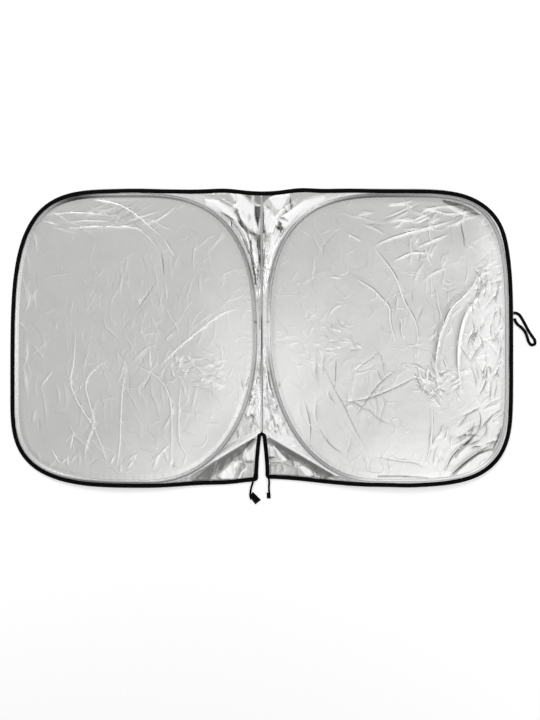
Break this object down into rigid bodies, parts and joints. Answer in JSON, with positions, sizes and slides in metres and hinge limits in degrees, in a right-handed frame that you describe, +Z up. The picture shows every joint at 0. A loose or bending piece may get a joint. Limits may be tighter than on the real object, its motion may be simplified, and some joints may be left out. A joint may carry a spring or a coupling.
{
  "type": "windscreen sunshade",
  "caption": "Twist-fold windscreen sunshade of silver-coated cloth on sprung hoops, bound in black tape, with a slit for the mirror stem, ties and an elastic storage loop.",
  "frame": {"origin": "middle of the shade's outline, on the surface that it lies on", "axes": "+X along the long side towards the storage loop, +Y towards the top edge, +Z up out of the silver face"},
  "size_m": [1.5663, 0.9397, 0.0143],
  "materials": {
    "silver_cloth": "satin metallic coating on thin woven cloth, creased",
    "silver_tape": "satin metallic coated tape, stitched",
    "spring_steel": "drawn spring wire, oiled",
    "black_tape": "matt woven binding tape",
    "black_elastic": "matt ribbed elastic",
    "black_hook_tape": "matt hook-and-loop tape"
  },
  "bodies": {
    "root": {"left_panel": "silver_cloth", "right_panel": "silver_cloth", "left_flap": "silver_cloth", "right_flap": "silver_cloth", "left_hoop_casing": "silver_tape", "right_hoop_casing": "silver_tape", "centre_seam_tape": "silver_tape", "left_hoop_wire": "spring_steel", "right_hoop_wire": "spring_steel", "left_hoop_ferrule": "spring_steel", "right_hoop_ferrule": "spring_steel", "left_edge_binding": "black_tape", "right_edge_binding": "black_tape", "left_slit_binding": "black_tape", "right_slit_binding": "black_tape", "storage_loop": "black_elastic", "left_tie": "black_elastic", "right_tie": "black_elastic", "left_tie_tab": "black_hook_tape", "right_tie_tab": "black_hook_tape"}
  },
  "joints": []
}
